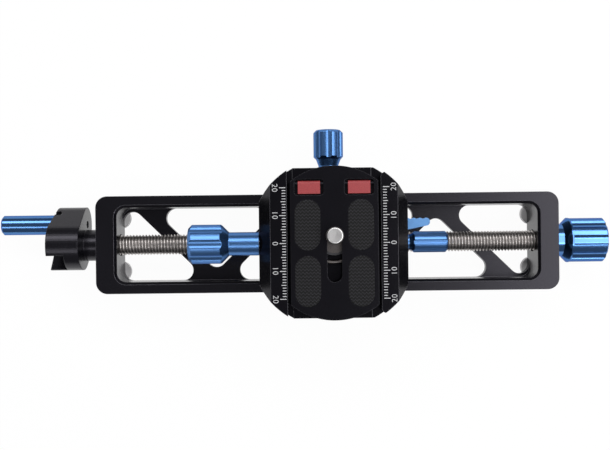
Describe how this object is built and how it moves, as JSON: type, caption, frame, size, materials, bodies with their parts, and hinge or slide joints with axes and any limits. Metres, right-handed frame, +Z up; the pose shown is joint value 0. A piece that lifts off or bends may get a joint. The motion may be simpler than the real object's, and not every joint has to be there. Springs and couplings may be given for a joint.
{
  "type": "macro focusing rail",
  "caption": "Dovetail rail frame with a lead screw, drive knob and folding crank that moves a turning quick-release camera clamp and plate along it.",
  "frame": {"origin": "middle of the rail frame's underside, on its centreline", "axes": "+X along the rail to the drive knob, +Y across it to the slide lock, +Z up to the plate"},
  "size_m": [0.2388, 0.0716, 0.05],
  "materials": {
    "black_frame": "bead-blasted black anodise",
    "black_clamp": "satin black anodise",
    "blue": "satin blue anodise",
    "steel": "turned",
    "screw_steel": "rolled thread",
    "brass": "machined",
    "rubber": "embossed matte",
    "red": "textured red"
  },
  "bodies": {
    "rail": {"rail_frame": "black_frame", "stop_screws": "steel", "left_bearing": "steel", "right_bearing": "steel"},
    "drive": {"lead_screw": "screw_steel", "drive_knob": "blue", "crank_arm": "black_clamp", "grip_pin": "steel", "detent_screw": "steel"},
    "grip": {"crank_grip": "blue"},
    "carriage": {"carriage": "black_clamp", "nut_housing": "black_clamp", "housing_screws": "steel", "lever_pin": "steel"},
    "half_nut": {"half_nut": "brass"},
    "lever": {"release_lever": "blue"},
    "slide_lock_shoe": {"slide_lock_shoe": "brass"},
    "slide_lock": {"slide_lock_screw": "steel", "slide_lock_knob": "blue"},
    "pan_lock_shoe": {"pan_lock_shoe": "brass"},
    "pan_lock": {"pan_lock_screw": "steel", "pan_lock_knob": "blue"},
    "clamp": {"pan_spindle": "steel", "retaining_disc": "steel", "pivot_screws": "steel", "clamp_base": "black_clamp", "jaw_guides": "steel"},
    "jaw": {"clamp_jaw": "black_clamp"},
    "clamp_drive": {"clamp_screw": "steel", "clamp_knob": "blue"},
    "plate": {"release_plate": "black_clamp", "rubber_pads": "rubber", "tab_pins": "steel"},
    "left_tab": {"left_tab": "red"},
    "right_tab": {"right_tab": "red"},
    "washer": {"screw_washer": "steel"},
    "camera_screw": {"camera_screw": "steel", "camera_ring": "steel"}
  },
  "joints": [
    {"name": "screw_turn", "type": "hinge", "parent": "rail", "child": "drive", "pos_m": [0, 0, 0.0076], "axis": [1, 0, 0], "range_deg": [-16805.4, 17784.6]},
    {"name": "carriage_slide", "type": "slide", "parent": "rail", "child": "carriage", "axis": [1, 0, 0], "range_m": [-0.0617, 0.0583]},
    {"name": "grip_fold", "type": "hinge", "parent": "drive", "child": "grip", "pos_m": [-0.1056, 0.0083, 0.0062], "axis": [0, 0.6225, 0.7826], "range_deg": [0, 90]},
    {"name": "lever_turn", "type": "hinge", "parent": "carriage", "child": "lever", "pos_m": [0.019, 0.0096, 0.0169], "axis": [0, 0, 1], "range_deg": [-1, 29]},
    {"name": "half_nut_slide", "type": "slide", "parent": "carriage", "child": "half_nut", "axis": [0, -1, 0], "range_m": [0, 0.0015]},
    {"name": "slide_lock_travel", "type": "slide", "parent": "carriage", "child": "slide_lock_shoe", "axis": [0, 1, 0], "range_m": [-0.000117, 0.0007]},
    {"name": "slide_lock_turn", "type": "hinge", "parent": "slide_lock_shoe", "child": "slide_lock", "pos_m": [0.0008, 0, 0.0143], "axis": [0, -1, 0], "range_deg": [-66, 366]},
    {"name": "pan_lock_travel", "type": "slide", "parent": "carriage", "child": "pan_lock_shoe", "axis": [1, 0, 0], "range_m": [-0.000117, 0.0007]},
    {"name": "pan_lock_turn", "type": "hinge", "parent": "pan_lock_shoe", "child": "pan_lock", "pos_m": [0.0017, 0, 0.0209], "axis": [-1, 0, 0], "range_deg": [-66, 366]},
    {"name": "clamp_pan", "type": "hinge", "parent": "carriage", "child": "clamp", "pos_m": [0.0017, 0, 0.0256], "axis": [0, 0, 1], "continuous": true},
    {"name": "clamp_knob_turn", "type": "hinge", "parent": "clamp", "child": "clamp_drive", "pos_m": [0.0017, 0, 0.0322], "axis": [1, 0, 0], "range_deg": [-8, 1810]},
    {"name": "jaw_slide", "type": "slide", "parent": "clamp", "child": "jaw", "axis": [1, 0, 0], "range_m": [0, 0.004]},
    {"name": "plate_slide", "type": "slide", "parent": "clamp", "child": "plate", "axis": [0, 1, 0], "range_m": [-0.02, 0.02]},
    {"name": "left_tab_flip", "type": "hinge", "parent": "plate", "child": "left_tab", "pos_m": [-0.0072, 0.02145, 0.04125], "axis": [-1, 0, 0], "range_deg": [0, 90]},
    {"name": "right_tab_flip", "type": "hinge", "parent": "plate", "child": "right_tab", "pos_m": [0.0108, 0.02145, 0.04125], "axis": [-1, 0, 0], "range_deg": [0, 90]},
    {"name": "camera_screw_slide", "type": "slide", "parent": "plate", "child": "washer", "axis": [0, 1, 0], "range_m": [-0.014, 0]},
    {"name": "camera_screw_turn", "type": "hinge", "parent": "washer", "child": "camera_screw", "pos_m": [0.0018, 0.0026, 0.04], "axis": [0, 0, 1], "continuous": true}
  ],
  "couplings": [
    {"joint": "screw_turn", "follows": "carriage_slide", "rad_per_m": -5026.5},
    {"joint": "lever_turn", "follows": "half_nut_slide", "rad_per_m": 325.79},
    {"joint": "slide_lock_turn", "follows": "slide_lock_travel", "rad_per_m": 8976},
    {"joint": "pan_lock_turn", "follows": "pan_lock_travel", "rad_per_m": 8976},
    {"joint": "clamp_knob_turn", "follows": "jaw_slide", "rad_per_m": 7854}
  ]
}
